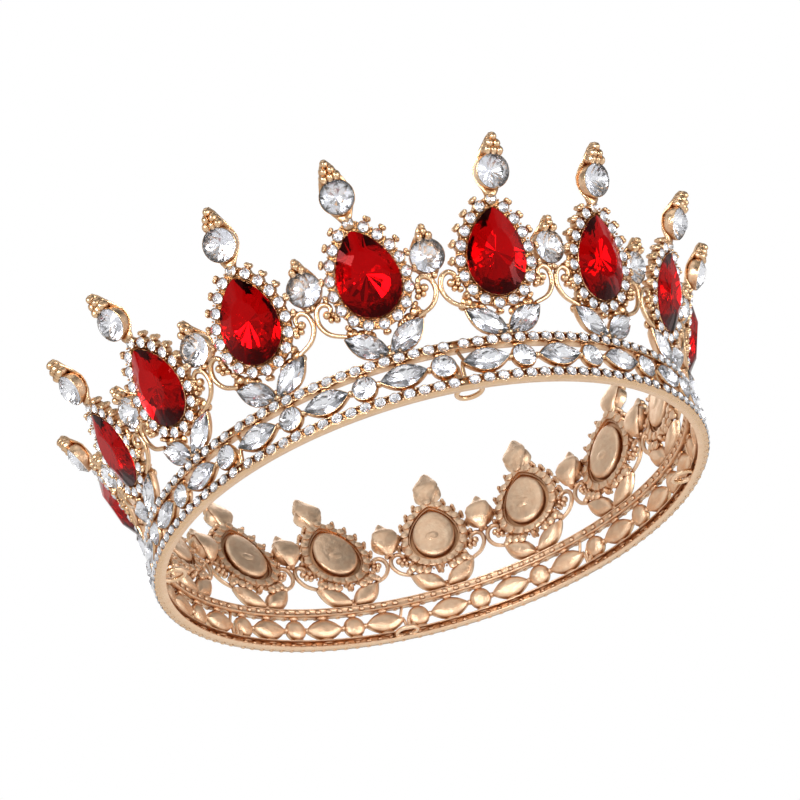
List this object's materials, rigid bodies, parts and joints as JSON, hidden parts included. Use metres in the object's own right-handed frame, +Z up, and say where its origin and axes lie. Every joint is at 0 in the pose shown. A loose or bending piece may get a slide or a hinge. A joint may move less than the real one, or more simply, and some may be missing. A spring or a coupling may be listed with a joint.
{
  "type": "pageant crown",
  "caption": "Full-round crown of openwork gold cast segments with teardrop motifs, red pear stones, clear stones and inner comb loops.",
  "frame": {"origin": "centre of the ring at the base plane that the band stands on", "axes": "+Z up along the ring's axis; -Y towards the joint that carries the first comb loop"},
  "size_m": [0.1582, 0.1582, 0.0507],
  "materials": {
    "gold": "polished rose-gold plating on cast metal",
    "red_glass": "faceted, foil-backed ruby-red glass",
    "clear_glass": "faceted, foil-backed clear glass"
  },
  "bodies": {
    "root": {"cast_segment_01": "gold", "cast_segment_02": "gold", "cast_segment_03": "gold", "cast_segment_04": "gold", "cast_segment_05": "gold", "cast_segment_06": "gold", "cast_segment_07": "gold", "cast_segment_08": "gold", "pear_stone_01": "red_glass", "pear_stone_02": "red_glass", "pear_stone_03": "red_glass", "pear_stone_04": "red_glass", "pear_stone_05": "red_glass", "pear_stone_06": "red_glass", "pear_stone_07": "red_glass", "pear_stone_08": "red_glass", "pear_stone_09": "red_glass", "pear_stone_10": "red_glass", "pear_stone_11": "red_glass", "pear_stone_12": "red_glass", "pear_stone_13": "red_glass", "pear_stone_14": "red_glass", "pear_stone_15": "red_glass", "pear_stone_16": "red_glass", "crest_stone_01": "clear_glass", "crest_stone_02": "clear_glass", "crest_stone_03": "clear_glass", "crest_stone_04": "clear_glass", "crest_stone_05": "clear_glass", "crest_stone_06": "clear_glass", "crest_stone_07": "clear_glass", "crest_stone_08": "clear_glass", "crest_stone_09": "clear_glass", "crest_stone_10": "clear_glass", "crest_stone_11": "clear_glass", "crest_stone_12": "clear_glass", "crest_stone_13": "clear_glass", "crest_stone_14": "clear_glass", "crest_stone_15": "clear_glass", "crest_stone_16": "clear_glass", "between_stone_01": "clear_glass", "between_stone_02": "clear_glass", "between_stone_03": "clear_glass", "between_stone_04": "clear_glass", "between_stone_05": "clear_glass", "between_stone_06": "clear_glass", "between_stone_07": "clear_glass", "between_stone_08": "clear_glass", "between_stone_09": "clear_glass", "between_stone_10": "clear_glass", "between_stone_11": "clear_glass", "between_stone_12": "clear_glass", "between_stone_13": "clear_glass", "between_stone_14": "clear_glass", "between_stone_15": "clear_glass", "between_stone_16": "clear_glass", "comb_loop_01": "gold", "comb_loop_02": "gold", "comb_loop_03": "gold", "comb_loop_04": "gold"}
  },
  "joints": []
}
